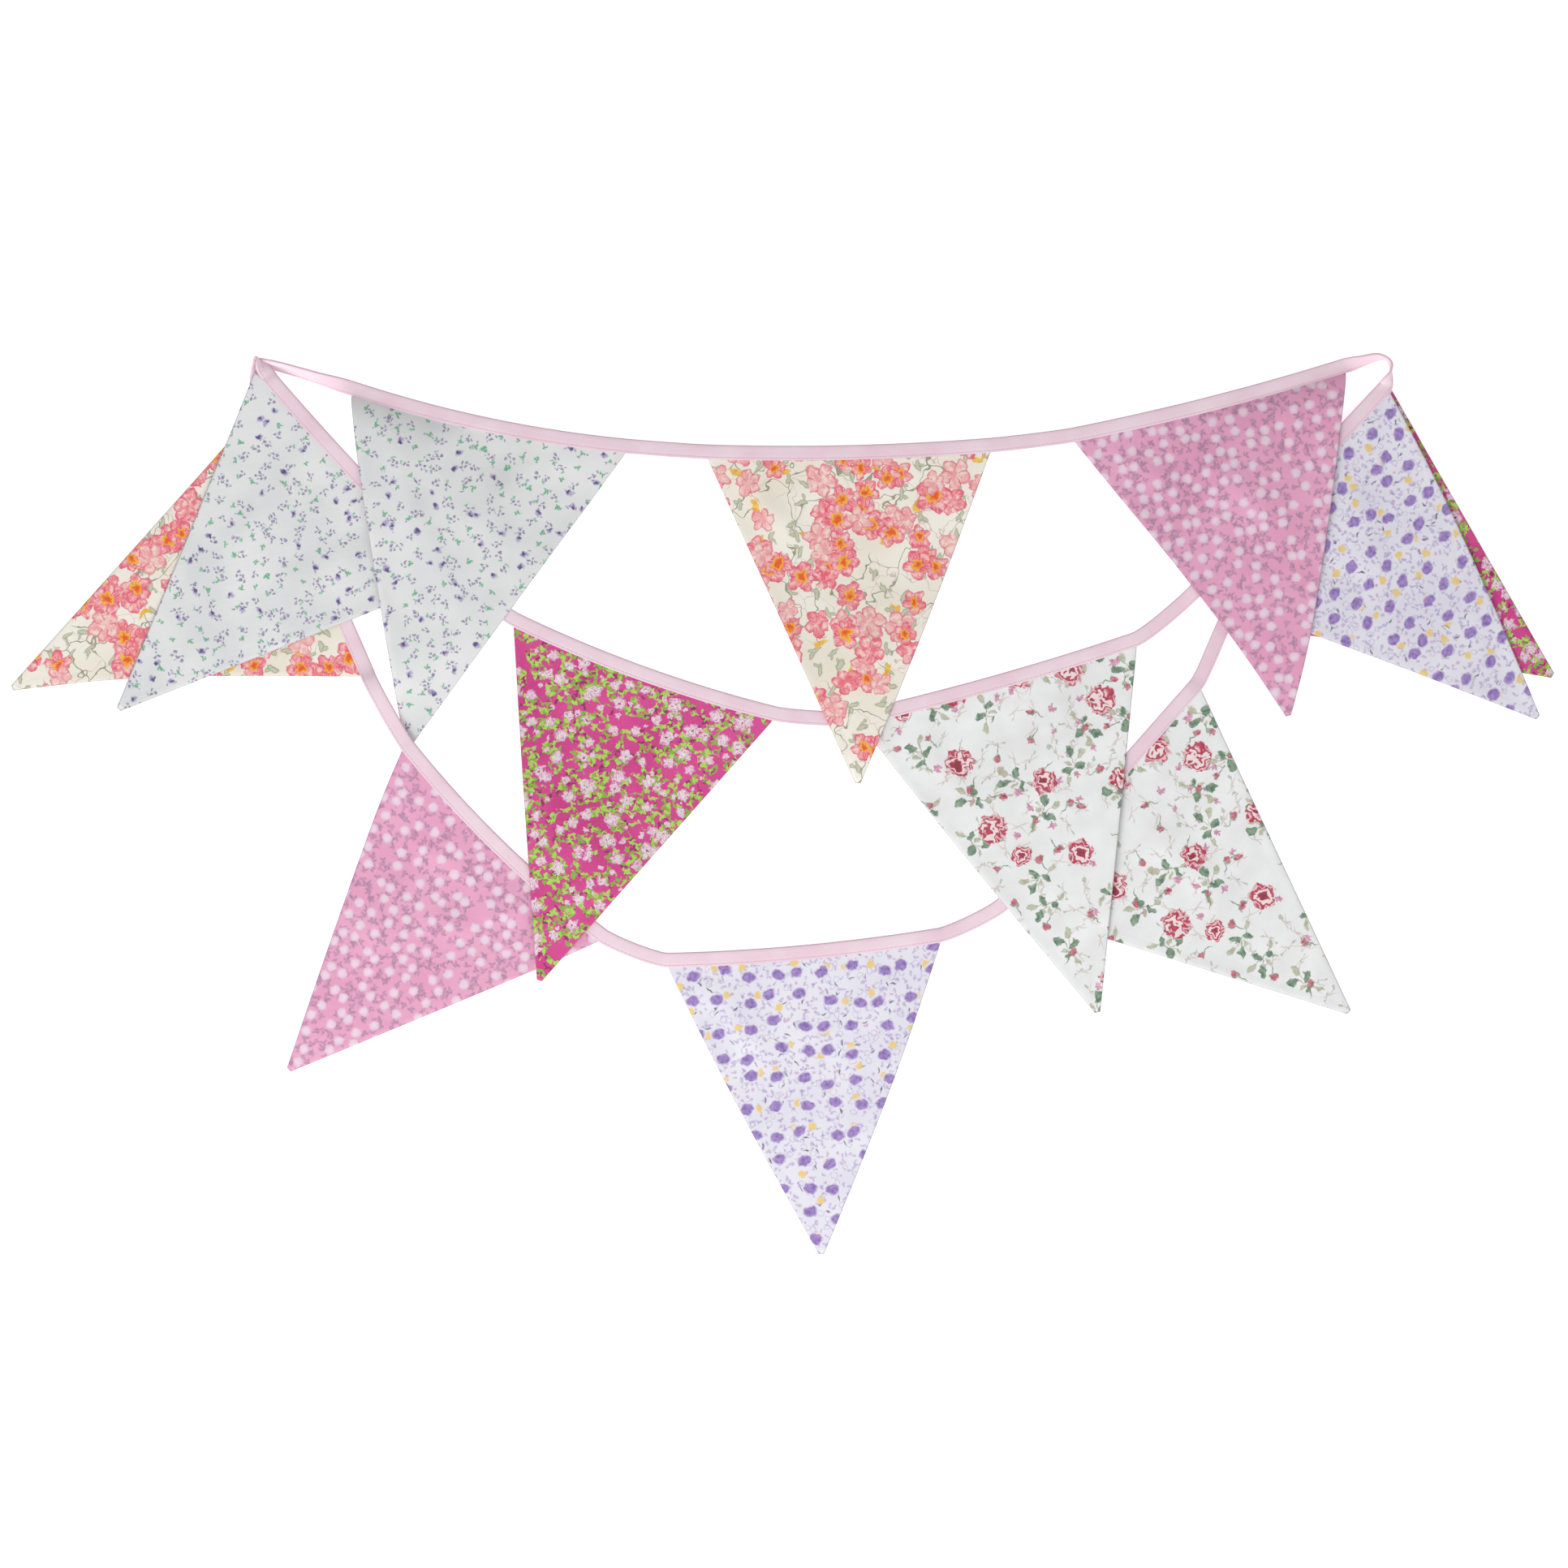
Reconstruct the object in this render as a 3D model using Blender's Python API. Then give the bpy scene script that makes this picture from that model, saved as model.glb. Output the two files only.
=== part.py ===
"""Fabric bunting: twelve printed pennants sewn into one folded tape, laid out in three swags.

The bunting lies on the plane z = 0. The tape runs once along a zigzag: swag 1 from left to right,
swag 2 back from right to left below it, swag 3 from left to right again at the bottom. It stands
on edge where it turns round, and every pennant keeps to the lower side of its swag. Heights come
from what each stretch lies over, so that the cloth rises gently over the pieces beneath it.
"""

import math
from collections import namedtuple

import bmesh
import bpy
from mathutils import Vector

MM = 0.001

# Driving sizes of the tape, in millimetres.
TAPE_WIDTH = 9.5
LEAF = 0.8
SLOT_OPEN = 1.6
SLOT_SHUT = 0.3
SLOT_DEPTH = 8.0
GROOVE_DEPTH = 1.0
HEAD_IN_SLOT = 7.0

# Driving sizes of the pennants and of the way they lie, in millimetres.
CLOTH = 1.0
TIP_WIDTH = 3.5
CLEARANCE = 0.9
FLAT_OVER = 20.0
FALL_OVER = 85.0
HEAD_FALL = (6.0, 50.0)

COLUMNS = 8
ROWS = 16
GAP_SECTIONS = 3
GAP_MARGIN = 0.12
GAP_PULL = 0.5
HEAD_MARGIN = 1.5
LOW_EDGE = 3.5
TURN_STEPS = 4

# One row for each pennant, in the order along the tape: where its head starts and ends at the
# tape's open edge, how far it drops below, how far the tip leans along the head, how far the head
# bows towards the tip, how far the two sides bow outwards and at what share of the drop, and how
# far the tape has rolled over (degrees).
Pennant = namedtuple("Pennant", "name x0 y0 x1 y1 drop lean bow side0 side1 bend roll")
PENNANTS = [
    Pennant("pennant_01_sprig", -274.1, 260.9, -98.8, 224.1, 212.0, -8.5, 5.0, 2.0, 0.0, 0.3, 0),
    Pennant("pennant_02_blossom", -46.4, 220.4, 134.1, 224.6, 209.1, 0.8, 2.5, 0.0, 2.0, 0.5, 0),
    Pennant("pennant_03_dot", 188.0, 231.3, 361.0, 275.4, 203.1, -0.3, 2.4, -3.0, 4.5, 0.7, 0),
    Pennant("pennant_04_berry", 388.8, 262.5, 267.9, 132.8, 210.6, -1.9, 0.0, 4.0, -2.0, 0.4, 180),
    Pennant("pennant_05_spray", 227.5, 100.6, 51.1, 50.8, 217.9, -4.3, 2.3, 0.0, 1.5, 0.5, 180),
    Pennant("pennant_06_rose", -4.9, 53.4, -170.4, 113.1, 206.5, -4.1, 4.5, 0.0, 0.5, 0.3, 180),
    Pennant("pennant_07_sprig", -210.9, 142.6, -334.8, 275.4, 210.6, -6.3, 2.0, 0.0, 0.0, 0.5, 180),
    Pennant("pennant_08_blossom", -340.0, 245.3, -267.9, 81.4, 207.0, 6.3, 0.0, 0.0, -5.0, 0.6, 360),
    Pennant("pennant_09_dot", -241.5, 34.2, -116.4, -87.7, 196.6, 2.9, 5.5, 2.5, 1.0, 0.25, 360),
    Pennant("pennant_10_berry", -71.8, -104.3, 102.4, -88.2, 191.3, -6.7, 3.0, 2.0, 3.0, 0.45, 360),
    Pennant("pennant_11_spray", 146.0, -66.4, 268.9, 73.1, 206.9, 0.9, 0.0, 0.0, 0.0, 0.5, 360),
    Pennant("pennant_12_rose", 289.6, 116.5, 390.8, 264.0, 187.5, -2.4, 0.0, 0.0, 0.0, 0.5, 360),
]

# Where the tape rolls onto its edge: the pennant it comes after, the tape's middle, its roll in
# degrees and the height of its lowest point. The rows after number 0 are the tape's free start.
Turn = namedtuple("Turn", "after x y roll lift")
TURNS = [
    Turn(0, -326.8, 280.0, 20, 0.0),
    Turn(0, -323.0, 279.4, 36, 0.0),
    Turn(0, -317.0, 278.6, 60, 0.0),
    Turn(0, -306.0, 275.4, 58, 0.0),
    Turn(0, -291.3, 271.0, 42, 0.0),
    Turn(3, 369.6, 282.4, 30, 0.8),
    Turn(3, 379.4, 285.0, 60, 2.2),
    Turn(3, 386.0, 284.0, 88, 3.6),
    Turn(3, 388.8, 280.2, 90, 4.4),
    Turn(3, 388.6, 274.8, 105, 4.8),
    Turn(3, 387.0, 270.0, 140, 5.0),
    Turn(7, -332.6, 280.6, 205, 4.8),
    Turn(7, -332.6, 283.2, 258, 3.6),
    Turn(7, -333.8, 285.0, 270, 2.4),
    Turn(7, -335.6, 284.4, 270, 1.4),
    Turn(7, -336.2, 281.8, 282, 0.6),
    Turn(7, -333.8, 275.2, 345, 0.0),
    Turn(7, -336.6, 266.0, 360, 0.0),
]

# What is laid, in order, and what it lies over. A stretch of tape is named after the pennants
# that it carries, and it takes in the plain tape before the first of them.
Layer = namedtuple("Layer", "kind first last over")
LAYERS = [
    Layer("tape", 8, 8, ()),
    Layer("pennant", 8, 8, ()),
    Layer("tape", 12, 12, ()),
    Layer("pennant", 12, 12, ()),
    Layer("tape", 4, 7, ("tape 8", "tape 12")),
    Layer("pennant", 7, 7, ("tape 8", "pennant 8")),
    Layer("tape", 1, 3, ()),
    Layer("pennant", 1, 1, ("tape 4", "pennant 7")),
    Layer("tape", 9, 11, ("pennant 1",)),
    Layer("pennant", 9, 9, ("pennant 1",)),
    Layer("pennant", 10, 10, ()),
    Layer("pennant", 11, 11, ()),
    Layer("pennant", 6, 6, ("tape 9", "pennant 9")),
    Layer("pennant", 5, 5, ("tape 9", "pennant 11")),
    Layer("pennant", 4, 4, ("tape 12", "pennant 12")),
    Layer("pennant", 2, 2, ("tape 4", "pennant 5")),
    Layer("pennant", 3, 3, ("tape 4", "tape 12", "pennant 4", "pennant 12")),
]

COLOURS = {
    "sprig": (0.82, 0.82, 0.86),
    "blossom": (0.86, 0.62, 0.52),
    "dot": (0.80, 0.38, 0.56),
    "berry": (0.72, 0.66, 0.82),
    "spray": (0.88, 0.86, 0.84),
    "rose": (0.66, 0.12, 0.34),
    "tape": (0.88, 0.68, 0.76),
}


class Section:
    """One section of the tape: its middle, its run, its roll, and which pennant it carries."""

    def __init__(self, middle, run, roll, stretch, pennant=None, lift=None, turning=False):
        self.middle = middle
        self.run = run.normalized()
        self.roll = math.radians(roll)
        self.stretch = stretch
        self.pennant = pennant
        self.lift = lift
        self.turning = turning
        self.slot = SLOT_OPEN if pennant else SLOT_SHUT
        self.depth = SLOT_DEPTH if pennant else GROOVE_DEPTH
        self.thickness = self.slot + 2 * LEAF
        self.half_height = (
            abs(math.sin(self.roll)) * TAPE_WIDTH + abs(math.cos(self.roll)) * self.thickness
        ) / 2
        self.half_width = (
            abs(math.cos(self.roll)) * TAPE_WIDTH + abs(math.sin(self.roll)) * self.thickness
        ) / 2
        right = Vector((self.run.y, -self.run.x, 0))
        up = Vector((0, 0, 1))
        # From the folded edge to the open edge, where the pennants hang, and out of the face.
        self.inward = math.cos(self.roll) * right - math.sin(self.roll) * up
        self.face = math.sin(self.roll) * right + math.cos(self.roll) * up

    def point(self, across, up):
        centre = Vector((*self.middle, self.lift + self.half_height))
        return centre + across * self.inward + up * self.face


def smooth_fall(distance, near, far):
    """1 up to near and 0 from far on, with no corner between."""
    t = min(max((distance - near) / (far - near), 0), 1)
    return 1 - t * t * (3 - 2 * t)


def stretch_of(number):
    """The tape layer that carries a pennant, named after its first pennant."""
    return next(
        layer.first
        for layer in LAYERS
        if layer.kind == "tape" and layer.first <= number <= layer.last
    )


def towards_tip(pennant, run):
    """The direction square to the tape's run in which a pennant drops."""
    side = -1 if pennant.roll == 180 else 1
    return side * Vector((run.y, -run.x))


def head_frame(pennant):
    """Start, length, run and inward direction of a pennant's head, flat on the plane."""
    start = Vector((pennant.x0, pennant.y0))
    run = Vector((pennant.x1, pennant.y1)) - start
    length = run.length
    run.normalize()
    return start, length, run, towards_tip(pennant, run)


def head_sections(number):
    """Evenly spaced sections along a head, which bows towards the tip."""
    pennant = PENNANTS[number - 1]
    start, length, run, inward = head_frame(pennant)
    sections = []
    for column in range(COLUMNS + 1):
        t = column / COLUMNS
        edge = start + run * length * t + inward * pennant.bow * 4 * t * (1 - t)
        slope = (run * length + inward * pennant.bow * 4 * (1 - 2 * t)).normalized()
        middle = edge - towards_tip(pennant, slope) * TAPE_WIDTH / 2
        sections.append(Section(middle, slope, pennant.roll, stretch_of(number), number))
    return sections


def gap_sections(a, b):
    """Plain tape between two heads of one swag, as a smooth curve."""
    reach = (b.middle - a.middle).length * GAP_PULL
    sections = []
    for step in range(GAP_SECTIONS):
        t = GAP_MARGIN + (1 - 2 * GAP_MARGIN) * step / (GAP_SECTIONS - 1)
        here = (
            (2 * t**3 - 3 * t**2 + 1) * a.middle
            + (t**3 - 2 * t**2 + t) * reach * a.run
            + (3 * t**2 - 2 * t**3) * b.middle
            + (t**3 - t**2) * reach * b.run
        )
        slope = (
            (6 * t**2 - 6 * t) * (a.middle - b.middle)
            + (3 * t**2 - 4 * t + 1) * reach * a.run
            + (3 * t**2 - 2 * t) * reach * b.run
        )
        sections.append(Section(here, slope, math.degrees(b.roll), b.stretch))
    return sections


def turn_sections(rows, a, b):
    """Tape that rolls over through the rows of one turn, from head section a (if any) to b."""
    knots = [Vector((row.x, row.y, row.roll, row.lift)) for row in rows]
    ends = [Vector((*end.middle, math.degrees(end.roll), 0)) for end in (a, b) if end]
    knots = ends[:-1] + knots + ends[-1:]
    apex = min(range(len(knots)), key=lambda index: abs(knots[index][2] % 180 - 90))
    padded = [2 * knots[0] - knots[1]] + knots + [2 * knots[-1] - knots[-2]]
    sections = []
    for span in range(len(knots) - 1):
        p0, p1, p2, p3 = padded[span : span + 4]
        beside_head = (a and span == 0) or span == len(knots) - 2
        for step in range(TURN_STEPS):
            t = step / TURN_STEPS
            value = (
                2 * p1
                + t * (p2 - p0)
                + t**2 * (2 * p0 - 5 * p1 + 4 * p2 - p3)
                + t**3 * (3 * p1 - p0 - 3 * p2 + p3)
            ) / 2
            slope = (
                (p2 - p0)
                + 2 * t * (2 * p0 - 5 * p1 + 4 * p2 - p3)
                + 3 * t**2 * (3 * p1 - p0 - 3 * p2 + p3)
            ) / 2
            if any((value.xy - end.xy).length < HEAD_MARGIN for end in ends):
                continue
            lift = None if beside_head and t > 0 else max(value[3], 0)
            stretch = a.stretch if a and span < apex else b.stretch
            sections.append(
                Section(value.xy, slope.xy, value[2], stretch, lift=lift, turning=True)
            )
    return sections


def tape_sections():
    """Every section of the tape, from its free start to its end at the last head."""
    heads = {number: head_sections(number) for number in range(1, len(PENNANTS) + 1)}
    sections = []
    for number, head in heads.items():
        before = heads[number - 1][-1] if number > 1 else None
        rows = [row for row in TURNS if row.after == number - 1]
        if rows:
            sections += turn_sections(rows, before, head[0])
        else:
            sections += gap_sections(before, head[0])
        sections += head
    return sections


class TapeLayer:
    """A stretch of tape that later layers lie over, without the parts that stand on edge."""

    def __init__(self, sections):
        self.sections = [section for section in sections if section.half_height < LOW_EDGE]

    def distance_and_top(self, point):
        best = (math.inf, 0)
        for a, b in zip(self.sections, self.sections[1:]):
            along = b.middle - a.middle
            t = min(max((point - a.middle).dot(along) / along.length_squared, 0), 1)
            half_width = max(a.half_width, b.half_width)
            distance = (point - a.middle - along * t).length - half_width
            top = max(a.lift + 2 * a.half_height, b.lift + 2 * b.half_height)
            best = min(best, (max(distance, 0), -top))
        return best[0], -best[1]


class PennantLayer:
    """A pennant whose height follows its head in the tape and the layers below it."""

    def __init__(self, number, head, under):
        self.pennant = PENNANTS[number - 1]
        self.head = head
        self.under = under
        self.start, self.length, self.run, self.inward = head_frame(self.pennant)
        middle = self.start + self.run * self.length / 2
        self.tip = middle + self.run * self.pennant.lean + self.inward * self.pennant.drop

    def outline_point(self, t, drop):
        """Point at share t of the width, the given distance below the head."""
        pennant = self.pennant
        down = drop / pennant.drop
        edge = self.start + self.run * self.length * t
        edge += self.inward * pennant.bow * 4 * t * (1 - t)
        tip = self.tip + self.run * TIP_WIDTH * (t - 0.5)
        ahead = down < pennant.bend
        share = down / pennant.bend if ahead else (1 - down) / (1 - pennant.bend)
        bulge = (pennant.side1 * t - pennant.side0 * (1 - t)) * math.sin(math.pi / 2 * share)
        return edge + (tip - edge) * down + self.run * bulge

    def head_height(self, t):
        """Height of the cloth's underside in the slot, at share t of the width."""
        place = min(max(t, 0), 1) * COLUMNS
        index = min(int(place), COLUMNS - 1)
        heights = [s.lift + s.half_height - CLOTH / 2 for s in self.head[index : index + 2]]
        return heights[0] + (heights[1] - heights[0]) * (place - index)

    def height(self, point):
        offset = point - self.start
        drop = offset.dot(self.inward)
        head = self.head_height(offset.dot(self.run) / self.length)
        return max(head * smooth_fall(drop, *HEAD_FALL), height_over(point, self.under))

    def distance_and_top(self, point):
        corners = [self.start, self.start + self.run * self.length, self.tip]
        area = (corners[1] - corners[0]).cross(corners[2] - corners[0])
        inside = True
        nearest = math.inf
        for a, b in zip(corners, corners[1:] + corners[:1]):
            along = b - a
            inside = inside and along.cross(point - a) * area >= 0
            t = min(max((point - a).dot(along) / along.length_squared, 0), 1)
            nearest = min(nearest, (point - a - along * t).length)
        distance = 0 if inside else nearest
        if distance > FALL_OVER:
            return distance, 0
        return distance, self.height(point) + CLOTH


def height_over(point, layers):
    """Height that clears every layer underneath and falls gently beside them."""
    height = 0
    for layer in layers:
        distance, top = layer.distance_and_top(point)
        if distance < FALL_OVER:
            height = max(height, (top + CLEARANCE) * smooth_fall(distance, FLAT_OVER, FALL_OVER))
    return height


def lift_stretch(sections, under):
    """Sets the heights of a stretch of tape; its turns run evenly between known heights."""
    for section in sections:
        if section.lift is None and not section.turning:
            across = Vector((section.inward.x, section.inward.y)) * TAPE_WIDTH / 2
            places = (section.middle - across, section.middle, section.middle + across)
            section.lift = max(height_over(place, under) for place in places)
    known = [index for index, section in enumerate(sections) if section.lift is not None]
    for low, high in zip(known, known[1:]):
        for index in range(low + 1, high):
            share = (index - low) / (high - low)
            sections[index].lift = (1 - share) * sections[low].lift + share * sections[high].lift


def lay_out(sections):
    """Lays every layer in turn and returns the pennants' layers by number."""
    laid = {}
    for layer in LAYERS:
        under = [laid[name] for name in layer.over]
        if layer.kind == "tape":
            stretch = [section for section in sections if section.stretch == layer.first]
            lift_stretch(stretch, under)
            laid[f"tape {layer.first}"] = TapeLayer(stretch)
        else:
            head = [section for section in sections if section.pennant == layer.first]
            laid[f"pennant {layer.first}"] = PennantLayer(layer.first, head, under)
    return {number: laid[f"pennant {number}"] for number in range(1, len(PENNANTS) + 1)}


def cloth_material(name, colour):
    material = bpy.data.materials.new(name)
    material.use_nodes = True
    shader = material.node_tree.nodes["Principled BSDF"]
    shader.inputs["Base Color"].default_value = (*colour, 1)
    shader.inputs["Roughness"].default_value = 0.9
    shader.inputs["Metallic"].default_value = 0.0
    return material


def add_object(name, bm, material):
    bmesh.ops.recalc_face_normals(bm, faces=bm.faces)
    mesh = bpy.data.meshes.new(name)
    bm.to_mesh(mesh)
    bm.free()
    mesh.materials.append(material)
    bpy.context.scene.collection.objects.link(bpy.data.objects.new(name, mesh))


def build_tape(sections):
    """The folded tape: two leaves, apart where a pennant's head goes in and else sewn together."""
    bm = bmesh.new()
    rings = []
    for section in sections:
        edge = TAPE_WIDTH / 2
        outer = section.thickness / 2
        inner = section.slot / 2
        profile = [
            (-edge, -outer),
            (edge, -outer),
            (edge, -inner),
            (edge - section.depth, -inner),
            (edge - section.depth, inner),
            (edge, inner),
            (edge, outer),
            (-edge, outer),
        ]
        rings.append([bm.verts.new(section.point(*place) * MM) for place in profile])
    for ring, following in zip(rings, rings[1:]):
        for index in range(len(ring)):
            after = (index + 1) % len(ring)
            bm.faces.new([ring[index], ring[after], following[after], following[index]])
    bm.faces.new(rings[0])
    bm.faces.new(rings[-1])
    add_object("bias_tape", bm, cloth_material("pink cotton tape", COLOURS["tape"]))


def build_pennant(layer):
    """One pennant, as a grid that narrows to the tip, drawn up to the cloth's thickness."""
    bm = bmesh.new()
    rows = [HEAD_FALL[0] + (layer.pennant.drop - HEAD_FALL[0]) * step / ROWS for step in range(ROWS + 1)]
    grid = []
    for depth in (TAPE_WIDTH / 2 - HEAD_IN_SLOT, TAPE_WIDTH / 2):
        heads = [section.point(depth, -CLOTH / 2) for section in layer.head]
        grid.append([Vector((p.x, p.y, layer.head_height(i / COLUMNS))) for i, p in enumerate(heads)])
    for drop in rows:
        points = [layer.outline_point(column / COLUMNS, drop) for column in range(COLUMNS + 1)]
        grid.append([Vector((*point, layer.height(point))) for point in points])
    verts = [[bm.verts.new(point * MM) for point in row] for row in grid]
    for row, below in zip(verts, verts[1:]):
        for column in range(COLUMNS):
            bm.faces.new([row[column], row[column + 1], below[column + 1], below[column]])
    top = bmesh.ops.extrude_face_region(bm, geom=bm.faces[:])["geom"]
    top = [element for element in top if isinstance(element, bmesh.types.BMVert)]
    bmesh.ops.translate(bm, verts=top, vec=(0, 0, CLOTH * MM))
    name = layer.pennant.name
    print_name = name.split("_")[-1]
    add_object(name, bm, cloth_material(f"{print_name} printed cotton", COLOURS[print_name]))


def build():
    for obj in list(bpy.data.objects):
        bpy.data.objects.remove(obj)
    sections = tape_sections()
    layers = lay_out(sections)
    build_tape(sections)
    for layer in layers.values():
        build_pennant(layer)


build()
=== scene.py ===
import math
from collections import namedtuple

import bmesh
import bpy
import numpy as np
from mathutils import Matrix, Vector, noise
from mathutils.bvhtree import BVHTree


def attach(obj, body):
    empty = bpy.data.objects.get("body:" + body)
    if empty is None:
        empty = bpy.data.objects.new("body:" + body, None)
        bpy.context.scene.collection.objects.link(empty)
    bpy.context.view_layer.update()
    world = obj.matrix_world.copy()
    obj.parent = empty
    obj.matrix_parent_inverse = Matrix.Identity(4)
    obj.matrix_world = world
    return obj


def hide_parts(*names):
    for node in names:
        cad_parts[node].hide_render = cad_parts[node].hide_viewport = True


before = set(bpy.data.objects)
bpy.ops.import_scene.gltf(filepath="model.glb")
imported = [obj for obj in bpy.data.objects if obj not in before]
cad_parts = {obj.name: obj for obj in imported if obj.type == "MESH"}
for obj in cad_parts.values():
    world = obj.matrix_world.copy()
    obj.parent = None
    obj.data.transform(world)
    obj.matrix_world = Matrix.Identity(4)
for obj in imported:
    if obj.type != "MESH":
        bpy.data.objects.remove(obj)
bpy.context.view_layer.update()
mm = 0.001


def newObject(name, data):
    made = bpy.data.objects.new(name, data)
    bpy.context.scene.collection.objects.link(made)
    return made


# straight above the laid bunting; lengths are in mm here and in all the settings below
cameraSettings = {"aim": (2.3, 13), "height": 2500, "viewWidth": 1002.1, "sensor": 36, "far": 20}


def makeCamera(s):
    data = bpy.data.cameras.new("camera")
    data.sensor_width = s["sensor"]
    data.lens = s["sensor"] * s["height"] / s["viewWidth"]
    data.clip_end = s["far"]  # metres
    camera = newObject("camera", data)
    camera.location = (s["aim"][0] * mm, s["aim"][1] * mm, s["height"] * mm)
    bpy.context.scene.camera = camera


makeCamera(cameraSettings)
print("camera made")

# how the bunting lies: each head's two ends, the drop to the tip and its lean, how far the head and
# the two sides bow out, where along the drop the sides bend, the tape's roll (180 is turned over),
# and how far its print is turned and shifted
fields = "cotton x0 y0 x1 y1 drop lean bow side0 side1 bend roll turn shift"
Pennant = namedtuple("Pennant", fields, defaults=(0, (0, 0)))
pennants = [
    Pennant("sprig", -274.1, 260.9, -98.8, 224.1, 212, -8.5, 5, 2, 0, 0.3, 0),
    Pennant("blossom", -46.4, 220.4, 134.1, 224.6, 209.1, 0.8, 2.5, 0, 2, 0.5, 0, 0, (31, 12)),
    Pennant("dot", 188, 231.3, 361, 275.4, 203.1, -0.3, 2.4, -3, 4.5, 0.7, 0, 4, (0, 40)),
    Pennant("berry", 388.8, 262.5, 267.9, 132.8, 210.6, -1.9, 0, 4, -2, 0.4, 180),
    Pennant("spray", 227.5, 100.6, 51.1, 50.8, 217.9, -4.3, 2.3, 0, 1.5, 0.5, 180, 0, (15, 5)),
    Pennant("rose", -4.9, 53.4, -170.4, 113.1, 206.5, -4.1, 4.5, 0, 0.5, 0.3, 180),
    Pennant("sprig", -210.9, 142.6, -334.8, 275.4, 210.6, -6.3, 2, 0, 0, 0.5, 180, 8, (300, 90)),
    Pennant("blossom", -340, 245.3, -267.9, 81.4, 207, 6.3, 0, 0, -5, 0.6, 360, 5, (420, 260)),
    Pennant("dot", -241.5, 34.2, -116.4, -87.7, 196.6, 2.9, 5.5, 2.5, 1, 0.25, 360, -5, (260, 130)),
    Pennant("berry", -71.8, -104.3, 102.4, -88.2, 191.3, -6.7, 3, 2, 3, 0.45, 360, 3, (220, 310)),
    Pennant("spray", 146, -66.4, 268.9, 73.1, 206.9, 0.9, 0, 0, 0, 0.5, 360, 0, (15, 5)),
    Pennant("rose", 289.6, 116.5, 390.8, 264, 187.5, -2.4, 0, 0, 0, 0.5, 360, 6, (150, 200)),
]

# where the tape turns over after a pennant: its middle's place, its roll and how high it lifts
Turn = namedtuple("Turn", "x y roll lift")
turns = {
    0: [
        Turn(-332.2, 281.8, 58, 0), Turn(-327.5, 281, 58, 0), Turn(-319, 279.2, 57, 0),
        Turn(-306, 275.4, 52, 0), Turn(-291.3, 271, 42, 0),
    ],
    3: [
        Turn(369.6, 282.4, 44, 0.8), Turn(379.4, 285, 66, 2.2), Turn(386, 284, 88, 3.6),
        Turn(388.8, 280.2, 90, 4.4), Turn(388.6, 274.8, 105, 4.8), Turn(387, 270, 140, 5),
    ],
    7: [
        Turn(-326.4, 273.6, 190, 4.8), Turn(-329.4, 277.6, 214, 4.8), Turn(-331.4, 281, 244, 4.4),
        Turn(-332.4, 283.4, 264, 3.8), Turn(-333.5, 284.7, 270, 3), Turn(-334.5, 283.6, 274, 2.2),
        Turn(-334.4, 280.2, 284, 1.2), Turn(-334, 274, 316, 0.4), Turn(-334.3, 266, 346, 0),
        Turn(-335.2, 257, 358, 0),
    ],
}

solids = {
    name: BVHTree.FromPolygons(
        [vertex.co for vertex in node.data.vertices],
        [polygon.vertices for polygon in node.data.polygons],
    )
    for name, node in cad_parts.items()
}


def middleHeight(node, x, y, crossings, fromAbove=True):
    # mean height (mm) of the first few faces that an upright line through the solid meets
    down = -1 if fromAbove else 1
    start = Vector((x * mm, y * mm, -0.1 * down))
    heights = []
    while len(heights) < crossings:
        hit = solids[node].ray_cast(start, Vector((0, 0, down)))[0]
        if hit is None:
            break
        heights.append(hit.z / mm)
        start = hit + Vector((0, 0, down * 1e-6))
    if len(heights) < crossings:
        # beside the solid's edge: the height of its nearest point
        nearest = solids[node].find_nearest(Vector((x * mm, y * mm, 3 * mm)))[0]
        return nearest.z / mm
    return sum(heights) / crossings


def linearColour(sRgbHex):
    channels = [int(sRgbHex[i : i + 2], 16) / 255 for i in (1, 3, 5)]
    linear = [c / 12.92 if c <= 0.04045 else ((c + 0.055) / 1.055) ** 2.4 for c in channels]
    return (*linear, 1)


def addNode(tree, kind, inputs=(), output=0, **settings):
    # a kind in capitals is a Math operation; inputs are by place or by name
    isMath = kind.isupper()
    plainType = kind if "Node" in kind else "ShaderNode" + kind
    node = tree.nodes.new("ShaderNodeMath" if isMath else plainType)
    if isMath:
        node.operation = kind
    for name, value in settings.items():
        setattr(node, name, value)
    given = inputs.items() if isinstance(inputs, dict) else enumerate(inputs)
    for key, value in given:
        if isinstance(value, bpy.types.NodeSocket):
            tree.links.new(value, node.inputs[key])
        elif isinstance(value, str):
            node.inputs[key].default_value = linearColour(value)
        elif value is not None:
            node.inputs[key].default_value = value
    return node.outputs[output] if node.outputs else node


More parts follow.
